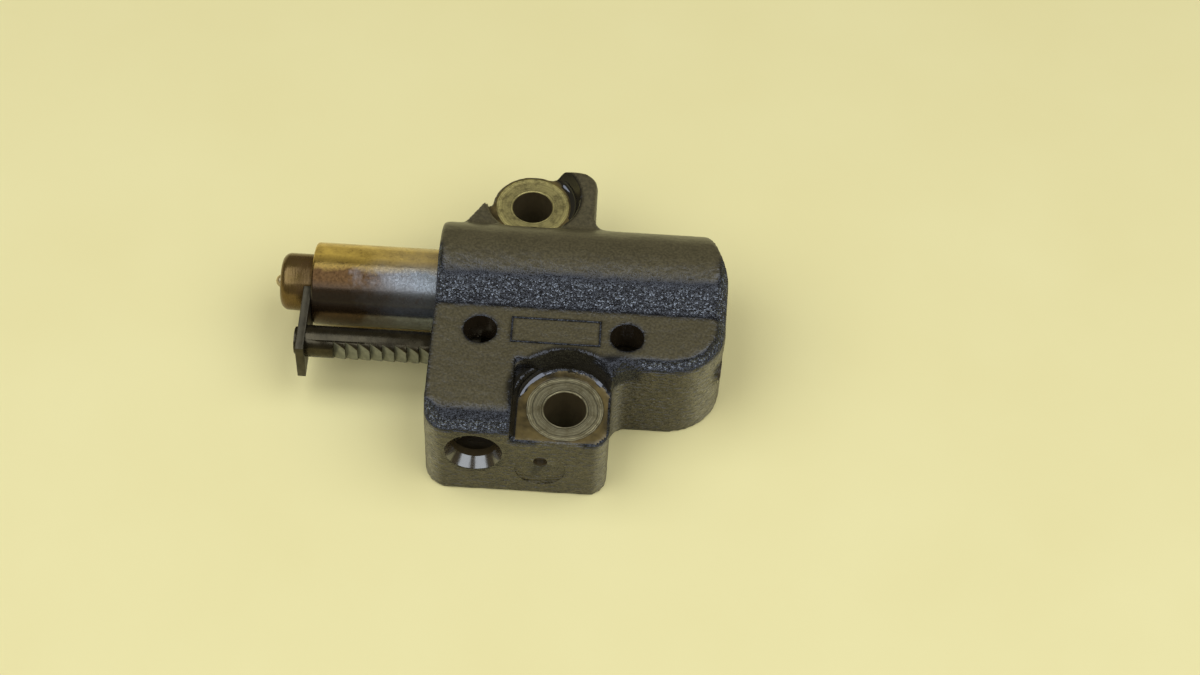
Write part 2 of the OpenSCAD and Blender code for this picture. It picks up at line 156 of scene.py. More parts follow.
def casting_skin():
    """Sand cast grey iron. Level faces hold a film of old oil and look olive brown and plain. Upright ones
    are dented, with painted shade in the dents' hollows and a painted sheen on their corners, paler where
    side light would catch them. The slopes have drained to black iron, whose grain of a quarter millimetre
    flashes blue-white, and wet oil is black."""
    material, tree, shader, mm = surface("oiled_sand_cast_iron")
    # patches of 7 mm, sand marks of 0.4 mm, crystals of 0.24 mm and flat dents of 1 mm
    patches = add(
        tree,
        "ShaderNodeTexNoise",
        {"Vector": mm, "Scale": 0.14, "Detail": 5.0, "Roughness": 0.62},
    )
    grain = add(tree, "ShaderNodeTexNoise", {"Vector": mm, "Scale": 2.6, "Detail": 1.0, "Roughness": 0.6})
    pits = add(tree, "ShaderNodeTexVoronoi", {"Vector": mm, "Scale": 4.2})
    film = add(
        tree,
        "ShaderNodeMix",
        {0: patches.outputs["Fac"], 6: linear("#443d29"), 7: linear("#585039")},
        data_type="RGBA",
    )
    # painted sheen: upright corners are mixed towards a paler grey, the light that side lamps would give
    # them
    painted_sheen = add(tree, "ShaderNodeAttribute", attribute_name="painted_sheen", attribute_type="GEOMETRY").outputs["Fac"]
    rubbed = add(
        tree,
        "ShaderNodeMix",
        {0: painted_sheen, 6: film.outputs[2], 7: linear("#857f6d")},
        data_type="RGBA",
    )
    bare = add(tree, "ShaderNodeAttribute", attribute_name="bare", attribute_type="GEOMETRY").outputs["Fac"]
    black = add(tree, "ShaderNodeMapRange", {"Value": bare, 1: 0.0, 2: 0.5}).outputs["Result"]
    tone = add(
        tree,
        "ShaderNodeMix",
        {0: black, 6: rubbed.outputs[2], 7: linear("#17171a")},
        data_type="RGBA",
    )
    flattened = add(tree, "ShaderNodeVectorMath", {0: mm, 1: (0.8, 0.8, 2.0)}, operation="MULTIPLY")
    dents = add(
        tree,
        "ShaderNodeTexNoise",
        {"Vector": flattened.outputs["Vector"], "Scale": 1.0, "Detail": 2.0},
    )
    # painted shade in the dents: upright faces are darkened where the dents' bump is low, and level faces
    # evenly by a little
    hollow = add(
        tree,
        "ShaderNodeMapRange",
        {"Value": dents.outputs["Fac"], 1: 0.32, 2: 0.56, 3: 0.62, 4: 1.16},
    )
    layer = add(tree, "ShaderNodeAttribute", attribute_name="grain", attribute_type="GEOMETRY")
    depth = layer.outputs["Fac"]
    plain = add(tree, "ShaderNodeMix", {0: depth, 2: 0.94, 3: hollow.outputs["Result"]})
    shadowed = add(
        tree,
        "ShaderNodeMix",
        {0: 1.0, 6: tone.outputs[2], 7: plain.outputs[0]},
        data_type="RGBA",
        blend_type="MULTIPLY",
    )
    speck = add(
        tree,
        "ShaderNodeMapRange",
        {"Value": grain.outputs["Fac"], 1: 0.35, 2: 0.68, 3: 0.74, 4: 1.26},
    )
    dotted = add(
        tree,
        "ShaderNodeMix",
        {0: 1.0, 6: shadowed.outputs[2], 7: speck.outputs["Result"]},
        data_type="RGBA",
        blend_type="MULTIPLY",
    )
    chosen = add(tree, "ShaderNodeMapRange", {"Value": pits.outputs["Color"], 1: 0.57, 2: 0.79})
    lit = add(tree, "ShaderNodeMapRange", {"Value": bare, 1: 0.5, 2: 1.0})
    flash = add(
        tree,
        "ShaderNodeMath",
        {0: chosen.outputs["Result"], 1: lit.outputs["Result"]},
        operation="MULTIPLY",
    )
    crystal = add(
        tree,
        "ShaderNodeMix",
        {0: flash.outputs[0], 6: dotted.outputs[2], 7: linear("#6d7179")},
        data_type="RGBA",
    )
    oil = add(tree, "ShaderNodeAttribute", attribute_name="oil", attribute_type="GEOMETRY").outputs["Fac"]
    wet = add(
        tree,
        "ShaderNodeMix",
        {0: oil, 6: crystal.outputs[2], 7: linear("#1c1913")},
        data_type="RGBA",
    )
    dull = add(
        tree,
        "ShaderNodeMapRange",
        {"Value": grain.outputs["Fac"], 1: 0.35, 2: 0.65, 3: 0.1, 4: 0.26},
    )
    skin = add(tree, "ShaderNodeMix", {0: bare, 2: 0.34, 3: dull.outputs["Result"]})
    gloss = add(tree, "ShaderNodeMix", {0: oil, 2: skin.outputs[0], 3: 0.12})
    shine = add(tree, "ShaderNodeMapRange", {"Value": black, 3: 0.6, 4: 0.43})
    rough = add(
        tree,
        "ShaderNodeMath",
        {0: pits.outputs["Distance"], 1: 0.5, 2: grain.outputs["Fac"]},
        operation="MULTIPLY_ADD",
    )
    upright = add(tree, "ShaderNodeMapRange", {"Value": bare, 3: 6.5, 4: 0.0})
    height = add(
        tree,
        "ShaderNodeMath",
        {0: dents.outputs["Fac"], 1: upright.outputs["Result"], 2: rough.outputs[0]},
        operation="MULTIPLY_ADD",
    )
    bump = add(
        tree,
        "ShaderNodeBump",
        {"Height": height.outputs[0], "Strength": depth, "Distance": 0.00025},
    )
    tree.links.new(wet.outputs[2], shader.inputs["Base Color"])
    tree.links.new(flash.outputs[0], shader.inputs["Metallic"])
    tree.links.new(gloss.outputs[0], shader.inputs["Roughness"])
    tree.links.new(bump.outputs["Normal"], shader.inputs["Normal"])
    tree.links.new(shine.outputs["Result"], shader.inputs["Specular IOR Level"])
    shader.inputs["Specular Tint"].default_value = linear("#eef1ff")
    return material


def bored_skin(name, low, high, roughness, wet):
    """Bored or drilled iron, brown with oil: a wet coat on it mirrors the light softly."""
    material, tree, shader, mm = surface(name, roughness)
    streak = add(tree, "ShaderNodeTexNoise", {"Vector": mm, "Scale": 1.2, "Detail": 4.0})
    tone = add(
        tree,
        "ShaderNodeMix",
        {0: streak.outputs["Fac"], 6: linear(low), 7: linear(high)},
        data_type="RGBA",
    )
    marks = add(
        tree,
        "ShaderNodeBump",
        {"Height": streak.outputs["Fac"], "Strength": 0.25, "Distance": 0.00008},
    )
    tree.links.new(tone.outputs[2], shader.inputs["Base Color"])
    tree.links.new(marks.outputs["Normal"], shader.inputs["Normal"])
    shader.inputs["Specular IOR Level"].default_value = 0.8
    shader.inputs["Coat Weight"].default_value = wet
    shader.inputs["Coat Roughness"].default_value = roughness
    shader.inputs["Coat IOR"].default_value = 1.8
    return material


def ring_skin():
    """Spot faced iron: the cutter's rings, a quarter of a millimetre apart, around each bolt hole.
    The front ring is grey tan, and the rear one is golden from old oil. Both are rubbed brighter
    towards the outside, and stained in spots."""
    material, tree, shader, mm = surface("spot_faced_iron", roughness=0.42, metallic=0.55)
    radii = []
    for x, y in (FRONT_BOLT, EAR):
        flat = add(tree, "ShaderNodeVectorMath", {0: mm, 1: (1, 1, 0)}, operation="MULTIPLY")
        away = add(
            tree, "ShaderNodeVectorMath", {0: flat.outputs["Vector"], 1: (x, y, 0)}, operation="DISTANCE"
        )
        radii.append(away.outputs["Value"])
    radius = add(tree, "ShaderNodeMath", {0: radii[0], 1: radii[1]}, operation="MINIMUM")
    wander = add(tree, "ShaderNodeTexNoise", {"Vector": mm, "Scale": 0.6, "Detail": 3.0})
    phase = add(
        tree,
        "ShaderNodeMath",
        {0: wander.outputs["Fac"], 1: 0.5, 2: radius.outputs[0]},
        operation="MULTIPLY_ADD",
    )
    lines = add(
        tree,
        "ShaderNodeTexNoise",
        {"W": phase.outputs[0], "Scale": 4.2, "Detail": 3.0},
        noise_dimensions="1D",
    )
    along = add(tree, "ShaderNodeSeparateXYZ", {0: mm})
    rear = add(tree, "ShaderNodeMapRange", {"Value": along.outputs["Y"], 1: 10.0, 2: 30.0})
    base = add(
        tree,
        "ShaderNodeMix",
        {0: rear.outputs["Result"], 6: linear("#7c7459"), 7: linear("#a69961")},
        data_type="RGBA",
    )
    rubbed = add(tree, "ShaderNodeMapRange", {"Value": radius.outputs[0], 1: 4.8, 2: 5.5, 3: 0.92, 4: 1.22})
    polished = add(
        tree,
        "ShaderNodeMix",
        {0: 1.0, 6: base.outputs[2], 7: rubbed.outputs["Result"]},
        data_type="RGBA",
        blend_type="MULTIPLY",
    )
    streak = add(
        tree,
        "ShaderNodeMapRange",
        {"Value": lines.outputs["Fac"], 1: 0.3, 2: 0.7, 3: 0.15, 4: 1.7},
    )
    faint = add(tree, "ShaderNodeMath", {0: rear.outputs["Result"], 1: 0.6}, operation="MULTIPLY")
    lined = add(tree, "ShaderNodeMix", {0: faint.outputs[0], 2: streak.outputs["Result"], 3: 1.0})
    ringed = add(
        tree,
        "ShaderNodeMix",
        {0: 1.0, 6: polished.outputs[2], 7: lined.outputs[0]},
        data_type="RGBA",
        blend_type="MULTIPLY",
    )
    stain = add(tree, "ShaderNodeTexNoise", {"Vector": mm, "Scale": 0.7, "Detail": 6.0, "Roughness": 0.75})
    dirt = add(
        tree,
        "ShaderNodeMapRange",
        {"Value": stain.outputs["Fac"], 1: 0.46, 2: 0.68, 3: 0.0, 4: 0.8},
    )
    colour = add(
        tree,
        "ShaderNodeMix",
        {0: dirt.outputs["Result"], 6: ringed.outputs[2], 7: linear("#4f452a")},
        data_type="RGBA",
    )
    bump = add(
        tree,
        "ShaderNodeBump",
        {"Height": lines.outputs["Fac"], "Strength": 0.8, "Distance": 0.00008},
    )
    tree.links.new(colour.outputs[2], shader.inputs["Base Color"])
    tree.links.new(bump.outputs["Normal"], shader.inputs["Normal"])
    return material


def seat_skin():
    """Milled iron around the rings, under golden brown oil varnish that is thick and dark in places."""
    material, tree, shader, mm = surface("varnished_milled_iron", roughness=0.3, metallic=0.2)
    patch = add(tree, "ShaderNodeTexNoise", {"Vector": mm, "Scale": 0.3, "Detail": 5.0, "Roughness": 0.6})
    amount = add(tree, "ShaderNodeMapRange", {"Value": patch.outputs["Fac"], 1: 0.38, 2: 0.66})
    tone = add(
        tree,
        "ShaderNodeMix",
        {0: amount.outputs["Result"], 6: linear("#6a5a35"), 7: linear("#302713")},
        data_type="RGBA",
    )
    oil = add(tree, "ShaderNodeAttribute", attribute_name="oil", attribute_type="GEOMETRY").outputs["Fac"]
    wet = add(tree, "ShaderNodeMix", {0: oil, 6: tone.outputs[2], 7: linear("#1c1913")}, data_type="RGBA")
    grit = add(tree, "ShaderNodeTexNoise", {"Vector": mm, "Scale": 1.8, "Detail": 3.0})
    bump = add(tree, "ShaderNodeBump", {"Height": grit.outputs["Fac"], "Strength": 0.3, "Distance": 0.0001})
    tree.links.new(wet.outputs[2], shader.inputs["Base Color"])
    tree.links.new(bump.outputs["Normal"], shader.inputs["Normal"])
    return material


def drill(mesh, finish, start, end, r1, r2=None, segments=96):
    """Adds a closed cylinder or cone between two points, in millimetres."""
    a, b = Vector(start) * MM, Vector(end) * MM
    turn = (b - a).to_track_quat("Z", "X").to_matrix().to_4x4()
    made = bmesh.ops.create_cone(
        mesh,
        cap_ends=True,
        segments=segments,
        radius1=r1 * MM,
        radius2=(r1 if r2 is None else r2) * MM,
        depth=(b - a).length,
        matrix=Matrix.Translation((a + b) / 2) @ turn,
    )
    for face in {f for v in made["verts"] for f in v.link_faces}:
        face.material_index = finish


def block(mesh, finish, low, high):
    """Adds a closed box between two corners, in millimetres."""
    a, b = Vector(low) * MM, Vector(high) * MM
    place = Matrix.Translation((a + b) / 2) @ Matrix.Diagonal((*(b - a), 1))
    made = bmesh.ops.create_cube(mesh, size=1, matrix=place)
    for face in {f for v in made["verts"] for f in v.link_faces}:
        face.material_index = finish


def finished(name, mesh, *materials):
    """Turns a bmesh into an object at the origin with these materials."""
    data = bpy.data.meshes.new(name)
    mesh.to_mesh(data)
    mesh.free()
    piece = bpy.data.objects.new(name, data)
    bpy.context.scene.collection.objects.link(piece)
    for material in materials:
        data.materials.append(material)
    return piece


def baked(piece):
    """Applies a piece's modifiers to its mesh."""
    shaped = bpy.data.meshes.new_from_object(piece.evaluated_get(bpy.context.evaluated_depsgraph_get()))
    piece.modifiers.clear()
    piece.data = shaped


def shaded(piece, degrees):
    """Shades a piece smooth, with a sharp edge wherever its faces meet at more than an angle."""
    piece.data.shade_smooth()
    piece.data.set_sharp_from_angle(angle=math.radians(degrees))


def merged(node):
    """Copies a solid of the frame as one joined mesh."""
    mesh = bmesh.new()
    mesh.from_mesh(frame["nodes"][node].data)
    bmesh.ops.remove_doubles(mesh, verts=mesh.verts, dist=1e-7)
    return mesh


# the casting as it leaves the mould, with every cut still full of metal and the label's line flat
rough = merged("housing")
for point in rough.verts:
    x, y, z = point.co / MM
    if abs(x - LABEL[0]) < 7.3 and abs(y - LABEL[1]) < 2.7 and STEP_Z - 0.1 < z < STEP_Z + 0.4:
        point.co.z = STEP_Z * MM
plugs = [
    ((LEFT_FACE, PLUNGER_Y, AXIS_Z), (22.3, PLUNGER_Y, AXIS_Z), 6.75),
    ((LEFT_FACE, RACK_Y, AXIS_Z), (RIGHT_FACE - 0.3, RACK_Y, AXIS_Z), 2.7),
    ((*FRONT_BOLT, 0), (*FRONT_BOLT, SEAT_Z), 6.2),
    ((*EAR, 0), (*EAR, SEAT_Z), 6.2),
    *(((*hole, 8), (*hole, STEP_Z), 2.8) for hole in STEP_HOLES),
    ((WINDOW[0], 0, WINDOW[1]), (WINDOW[0], FRONT_FACE, WINDOW[1]), 4.7),
    ((ROUND_MARK[0], -4, ROUND_MARK[1]), (ROUND_MARK[0], FRONT_FACE, ROUND_MARK[1]), 4.2),
]
for start, end, radius in plugs:
    drill(rough, SAND, start, end, radius)
# the pawl's room with its slot, the ear's corner, the pin's hole and the oil feed
block(rough, SAND, (-19.2, -4.5, 3.0), (-6.2, 12, 14))
block(rough, SAND, (-4.2, 41, 12), (1.0, 46.1, 16.65))
drill(rough, SAND, (*PIN, 0), (*PIN, 16), 1.2)
drill(rough, SAND, (*OIL_FEED, 0), (*OIL_FEED, 10), 1.4)
casting = finished(
    "housing_casting",
    rough,
    casting_skin(),
    bored_skin("oily_bored_iron", "#3c3322", "#554830", roughness=0.3, wet=0.0),
    ring_skin(),
    seat_skin(),
    # darker wet iron for the step holes, the window's countersink and the rack bore's mouth: its wet coat
    # stands for oil, and its darker tone is painted shade inside these holes
    bored_skin("wet_iron_painted_hole_shade", "#221b13", "#3a2f20", roughness=0.18, wet=1.0),
)
remesh = casting.modifiers.new("mould_grain", "REMESH")
remesh.mode = "VOXEL"
remesh.voxel_size = SAND_GRAIN * MM
soften = casting.modifiers.new("cast_edges", "SMOOTH")
soften.factor = 0.5
soften.iterations = 5
baked(casting)


def ease(value, low, high):
    """Goes smoothly from 0 at low to 1 at high."""
    t = min(max((value - low) / (high - low), 0), 1)
    return t * t * (3 - 2 * t)


def in_nook(x, y, z):
    """How far a point lies in the pocket's left corner, which the mould leaves rounded and full."""
    if not (-8.7 < x < 0 and FRONT_FACE + 0.6 < y < 6.9 and SEAT_Z - 0.4 < z < SEAT_Z + 2.5):
        return 0.0
    return ease(math.hypot(x, max(y, 0)), POCKET_R - 0.2, POCKET_R + 0.8)


# the pocket's corner is filled and the step's front edge well rounded; all the skin is uneven
NOOK_FILL = 1.4
EDGE_DROP = 0.5
outward = [point.normal.copy() for point in casting.data.vertices]
for point, normal in zip(casting.data.vertices, outward):
    where = point.co / MM
    x, y, z = where
    nook = in_nook(x, y, z)
    if nook > 0 and z < SEAT_Z + 0.9:
        point.co.z += max(SEAT_Z + NOOK_FILL * nook - z, 0) * MM
    if x < -7.9:
        point.co.z -= EDGE_DROP * (1 - ease(y, -5.2, -2.4)) * ease(z, 14.5, 17.0) * MM
    if z > 0.2:
        rise = 0.035 * noise.noise(where * 1.15) + 0.05 * noise.noise(where * 0.3)
        point.co += normal * rise * MM
for face in casting.data.polygons:
    face.material_index = SAND

# the cuts, in four sets, so that those that run into each other are made one after another
CLEAR = 2
ABOVE = 20
BELOW = -1
bores, rooms, edges, slot = (bmesh.new() for _ in range(4))
drill(bores, BORED, (LEFT_FACE - CLEAR, PLUNGER_Y, AXIS_Z), (19.5, PLUNGER_Y, AXIS_Z), PLUNGER_BORE_R)
drill(bores, BORED, (LEFT_FACE - CLEAR, RACK_Y, AXIS_Z), (RIGHT_FACE + CLEAR, RACK_Y, AXIS_Z), RACK_BORE_R)
drill(bores, BORED, (WINDOW[0], -3.6, WINDOW[1]), (WINDOW[0], FRONT_FACE - CLEAR, WINDOW[1]), WINDOW_R)
drill(bores, BORED, (ROUND_MARK[0], -5.7, 8.6), (ROUND_MARK[0], FRONT_FACE - CLEAR, 8.6), 1.1)
drill(bores, BORED, (*PIN, BELOW), (*PIN, 16.4), 1.02)
for x, y in (FRONT_BOLT, EAR):
    drill(bores, BORED, (x, y, BELOW), (x, y, ABOVE), BOLT_HOLE_R)
    drill(rooms, RING, (x, y, RING_Z), (x, y, ABOVE), RING_R)
    drill(edges, RING, (x, y, RING_Z - 0.2), (x, y, RING_Z + 0.05), 3.25, 3.5)
drill(rooms, BORED, (19, PLUNGER_Y, AXIS_Z), (22.1, PLUNGER_Y, AXIS_Z), 2.5)
# the step holes take the darker wet iron, whose darker tone is painted shade inside them
for hole in STEP_HOLES:
    drill(rooms, WET_SHADED, (*hole, 9), (*hole, ABOVE), 2.65)
block(rooms, BORED, (PAWL_LEFT, PAWL_FRONT, 5.9), (PAWL_RIGHT, 8.6, 13.2))
drill(edges, SAND, (*EAR, SEAT_Z), (*EAR, 18), EAR_SEAT_R, 8.29)
drill(edges, SEAT, (*FRONT_BOLT, SEAT_Z - 0.12), (*FRONT_BOLT, SEAT_Z + 0.12), RING_R, 6.29)
drill(
    edges,
    WET_SHADED,
    (RIGHT_FACE - 1.0, RACK_Y, AXIS_Z),
    (RIGHT_FACE + 1.0, RACK_Y, AXIS_Z),
    RACK_BORE_R,
    3.8,
)
drill(edges, BORED, (*OIL_FEED, BELOW), (*OIL_FEED, 10), 1.2)
block(edges, BORED, (PAWL_LEFT, PAWL_FRONT, 4.6), (PAWL_RIGHT, -0.7, 6.5))
drill(
    edges,
    WET_SHADED,
    (WINDOW[0], FRONT_FACE + 1.7, WINDOW[1]),
    (WINDOW[0], FRONT_FACE - 1.7, WINDOW[1]),
    WINDOW_R,
    5.5,
)
drill(
    edges,
    SAND,
    (ROUND_MARK[0], FRONT_FACE + 0.15, ROUND_MARK[1]),
    (ROUND_MARK[0], FRONT_FACE - 1, ROUND_MARK[1]),
    4.0,
)
block(slot, BORED, (PAWL_LEFT, 5.6, 7.6), (-6.6, 11.8, 12.4))
for number, mesh in enumerate((bores, rooms, edges, slot)):
    cutter = finished(f"cutter_{number}", mesh)
    machining = casting.modifiers.new(f"cut_{number}", "BOOLEAN")
    machining.operation = "DIFFERENCE"
    machining.solver = "MANIFOLD"
    machining.object = cutter
baked(casting)
for number in range(4):
    bpy.data.objects.remove(bpy.data.objects[f"cutter_{number}"])
shaded(casting, 28)


def skin_at(place, normal):
    """What the skin shows at a point: how far it is wet with black oil, drained to bare iron and grained,
    and how much painted sheen its corner gets, each from 0 to 1."""
    x, y, z = place
    front, rear = math.hypot(x, y), math.hypot(x - EAR[0], y - EAR[1])
    window = math.hypot(x - WINDOW[0], z - WINDOW[1])
    off_line = abs(max(abs(x - LABEL[0]) - 7.0, abs(y - LABEL[1]) - 2.4))

    # dried oil makes the joint of step and boss black and rough, right of the front bolt
    smear = 1 - ease(math.hypot((x - 7.4) / 4.8, (y - 6.3) / 2.2), 0.7, 1.0)
    smear *= z > 13.5 and front > 8.2

    # wet oil lies on the walls around both bolts and in the pocket's corner, and in blotches around
    # the window, along the foot and beside the label's line
    wall = ease(front, 6.9, 7.5) * (1 - ease(front, 8.7, 10.0)) * ease(z, 13.9, 14.3) * ease(y, -3, 2)
    wall *= 1 - smear
    boss = ease(rear, 6.85, 7.05) * (1 - ease(rear, 8.0, 8.5)) * (x > EAR[0]) * ease(z, 13.9, 14.0)
    nook = ease(math.hypot(x, max(y, 0)), 7.2, 7.6) * (in_nook(x, y, z) > 0)
    rim = 0.6 * (1 - ease(window, 4.6, 5.9)) * (1 - ease(y, FRONT_FACE + 0.5, FRONT_FACE + 1.5))
    foot = 0.5 * (1 - ease(z, 0.2, 1.4))
    groove = 0.55 * (1 - ease(off_line, 0.3, 0.55)) * ease(z, 17.2, 17.5)
    blotch = 0.5 + noise.noise(place * 0.5)
    oil = min(1.0, max(wall, nook, boss, rim * blotch, foot * blotch, groove * blotch))

    # the slopes have lost their film, but not the round mark, the rubbed edge above it or the
    # hump's back; level faces keep theirs
    mark = math.hypot(x - ROUND_MARK[0], z - ROUND_MARK[1]) < 4.6 and y < FRONT_FACE + 1.0
    worn = -3.8 < x < 3.0 and y < FRONT_FACE + 1.5 and 12.8 < z < 14.4
    behind = ease(y, 25.0, 27.0)
    slope = 0.5 * (ease(normal.z, 0.05, 0.25) + ease(normal.z, 0.35, 0.6)) * (1 - behind)
    slope *= not (mark or worn)
    level = max(ease(normal.z, 0.88, 0.99), behind * ease(normal.z, 0.1, 0.4))
    front_edge = (1 - ease(y, -4.1, -2.7)) * (x < -8.0) * ease(z, 15.0, 16.0)
    bare = max(slope * (1 - level), 0.62 * front_edge) * (1 - smear) + 0.54 * smear

    # the grain is deepest on the slopes and drowned in oil; upright corners get a painted sheen, paler where
    # side light would catch them
    grain = max(0.8 + 0.2 * slope - 0.86 * level, front_edge) * (1 - 0.7 * max(wall, nook, rim))
    corner = ease(min(abs(normal.x), 1.3 * abs(normal.y)), 0.25, 0.7)
    painted_sheen = 0.9 * corner * (1 - ease(abs(normal.z), 0.15, 0.4)) * (not mark)
    return oil, bare, grain, painted_sheen


# all but the oil changes softly: each point takes a share of its neighbours, five times over
skin = numpy.array([skin_at(point.co / MM, point.normal) for point in casting.data.vertices])
links = numpy.array([edge.vertices[:] for edge in casting.data.edges])
both = numpy.concatenate((links, links[:, ::-1]))
near = numpy.bincount(both[:, 0])
for name, values in zip(("oil", "bare", "grain", "painted_sheen"), skin.T):
    for _ in range(0 if name == "oil" else 5):
        values = 0.5 * values + 0.5 * numpy.bincount(both[:, 0], weights=values[both[:, 1]]) / near
    layer = casting.data.attributes.new(name, "FLOAT", "POINT")
    layer.data.foreach_set("value", values.astype(numpy.float32))
for face in casting.data.polygons:
    x, y, z = face.center / MM
    around_bolt = math.hypot(x, max(y, 0)) < 7.4 or math.hypot(x - EAR[0], y - EAR[1]) < 7.1
    if face.material_index != RING and abs(z - SEAT_Z) < 0.3 and face.normal.z > 0.9 and around_bolt:
        face.material_index = SEAT
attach(casting, "housing")
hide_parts("housing")


# Oil in the corners. Black oil has gathered at the foot of the wall around each bolt seat,
# and its hollow surface shines in two bright arcs.
HOLLOW_R = 0.96
UNDER_WALL = 0.26
ON_SEAT = 0.7
BELOW_SEAT = 0.1

# black mineral oil: almost a mirror, with a bluish shine, and wavy over 1 mm
wet_oil, oil_tree, oil_shader, oil_mm = surface("gathered_black_oil", roughness=0.07)
oil_shader.inputs["Base Color"].default_value = linear("#15130f")
oil_shader.inputs["Specular IOR Level"].default_value = 0.8
oil_shader.inputs["Specular Tint"].default_value = linear("#e6eaff")
oil_shader.inputs["Coat Weight"].default_value = 0.4
oil_shader.inputs["Coat Roughness"].default_value = 0.07
oil_shader.inputs["Coat IOR"].default_value = 1.8
uneven = add(oil_tree, "ShaderNodeTexNoise", {"Vector": oil_mm, "Scale": 0.9, "Detail": 2.0})
ripple = add(
    oil_tree,
    "ShaderNodeBump",
    {"Height": uneven.outputs["Fac"], "Strength": 0.12, "Distance": 0.0002},
)
oil_tree.links.new(ripple.outputs["Normal"], oil_shader.inputs["Normal"])


def gathered_oil(name, centre, foot, start, end, steps=72):
    """Sweeps a hollow corner of oil around a bolt, between two angles, thinning out at both ends."""
    mesh = bmesh.new()
    hollow = [math.radians(180 + 90 * i / 8) for i in range(9)]
    section = [(foot + UNDER_WALL, -BELOW_SEAT), (foot - ON_SEAT, -BELOW_SEAT)]
    section += [(foot - ON_SEAT - HOLLOW_R * math.sin(a), HOLLOW_R * (1 + math.cos(a))) for a in hollow]
    axis = Vector((*centre, 0))
    first = Vector((math.cos(math.radians(start)), math.sin(math.radians(start)), 0))
    points = [mesh.verts.new((axis + first * r + Vector((0, 0, SEAT_Z + z))) * MM) for r, z in section]
    bmesh.ops.spin(
        mesh,
        geom=[mesh.faces.new(points)],
        axis=(0, 0, 1),
        cent=axis * MM,
        angle=math.radians(end - start),
        steps=steps,
    )
    for point in mesh.verts:
        away = point.co / MM - axis
        share = (math.degrees(math.atan2(away.y, away.x)) - start) / (end - start)
        full = ease(min(share, 1 - share), -0.02, 0.15)
        radius = math.hypot(away.x, away.y)
        thin = (foot + (radius - foot) * full) / radius
        bottom = SEAT_Z - BELOW_SEAT
        height = bottom + (away.z - bottom) * full
        point.co = (axis + Vector((away.x * thin, away.y * thin, height))) * MM
    bmesh.ops.recalc_face_normals(mesh, faces=mesh.faces)
    return finished(name, mesh, wet_oil)


for name, centre, foot, start, end in (
    ("housing_front_oil", FRONT_BOLT, POCKET_R, 19, 178),
    ("housing_rear_oil", EAR, EAR_SEAT_R, -30, 56),
):
    corner = gathered_oil(name, centre, foot, start, end)
    shaded(corner, 40)
    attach(corner, "housing")


# Label frame. A raised line that the mould leaves on the step between the two holes,
# around a plain place. It is the same iron and skin as the casting.
FRAME_SIZE = (14.2, 5.0)
LINE_FOOT = STEP_Z - 0.15
LINE_WIDTH = 0.32
LINE_HEIGHT = 0.34
LINE_ROUND = 0.14

line = bmesh.new()
place = Matrix.Translation(Vector((*LABEL, LINE_FOOT)) * MM)
size = Matrix.Diagonal((*(Vector(FRAME_SIZE) * MM), 1, 1))
bmesh.ops.create_grid(line, x_segments=1, y_segments=1, size=0.5, matrix=place @ size)
inner = line.faces[:]
bmesh.ops.inset_region(line, faces=inner, thickness=LINE_WIDTH * MM, use_boundary=True, use_even_offset=True)
bmesh.ops.delete(line, geom=inner, context="FACES")
raised = bmesh.ops.extrude_face_region(line, geom=line.faces[:])
top = [v for v in raised["geom"] if isinstance(v, bmesh.types.BMVert)]
bmesh.ops.translate(line, verts=top, vec=(0, 0, LINE_HEIGHT * MM))
bmesh.ops.recalc_face_normals(line, faces=line.faces)
bmesh.ops.bevel(
    line,
    geom=[e for e in line.edges if all(v.co.z > (STEP_Z + 0.1) * MM for v in e.verts)],
    offset=LINE_ROUND * MM,
    affect="EDGES",
    segments=2,
    profile=0.5,
    material=-1,
)
label = finished("housing_label_frame", line, casting.data.materials[SAND])
for name, amount in (("oil", 0.2), ("grain", 0.6), ("bare", 0.7)):
    layer = label.data.attributes.new(name, "FLOAT", "POINT")
    layer.data.foreach_set("value", [amount] * len(label.data.vertices))
shaded(label, 30)
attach(label, "housing")


# Plunger. A hollow ground steel piston: old oil has varnished it brown on the outer end, its top and back
# carry a painted golden reflection of the yellow table and its lower front a painted dark reflection, and
# its inner end, which slides in the bore, is polished bare.
def turned(profile, steps=96):
    """Spins a profile of (x, radius) points about the plunger's axis, in millimetres."""
    mesh = bmesh.new()
    points = [mesh.verts.new(Vector((x, PLUNGER_Y, AXIS_Z + radius)) * MM) for x, radius in profile]
    lines = [mesh.edges.new(pair) for pair in zip(points, points[1:])]
    bmesh.ops.spin(
        mesh,
        geom=points + lines,
        axis=(1, 0, 0),
        cent=Vector((0, PLUNGER_Y, AXIS_Z)) * MM,
        angle=2 * math.pi,
        steps=steps,
        use_merge=True,
    )
    bmesh.ops.remove_doubles(mesh, verts=mesh.verts, dist=1e-7)
    bmesh.ops.recalc_face_normals(mesh, faces=mesh.faces)
    return mesh


def arc(x, radius, size, start, end, count=6):
    """Points of a round of a turned profile, about (x, radius), from one angle to another."""
    angles = [math.radians(start + (end - start) * i / count) for i in range(count + 1)]
    return [(x + size * math.cos(a), radius + size * math.sin(a)) for a in angles]


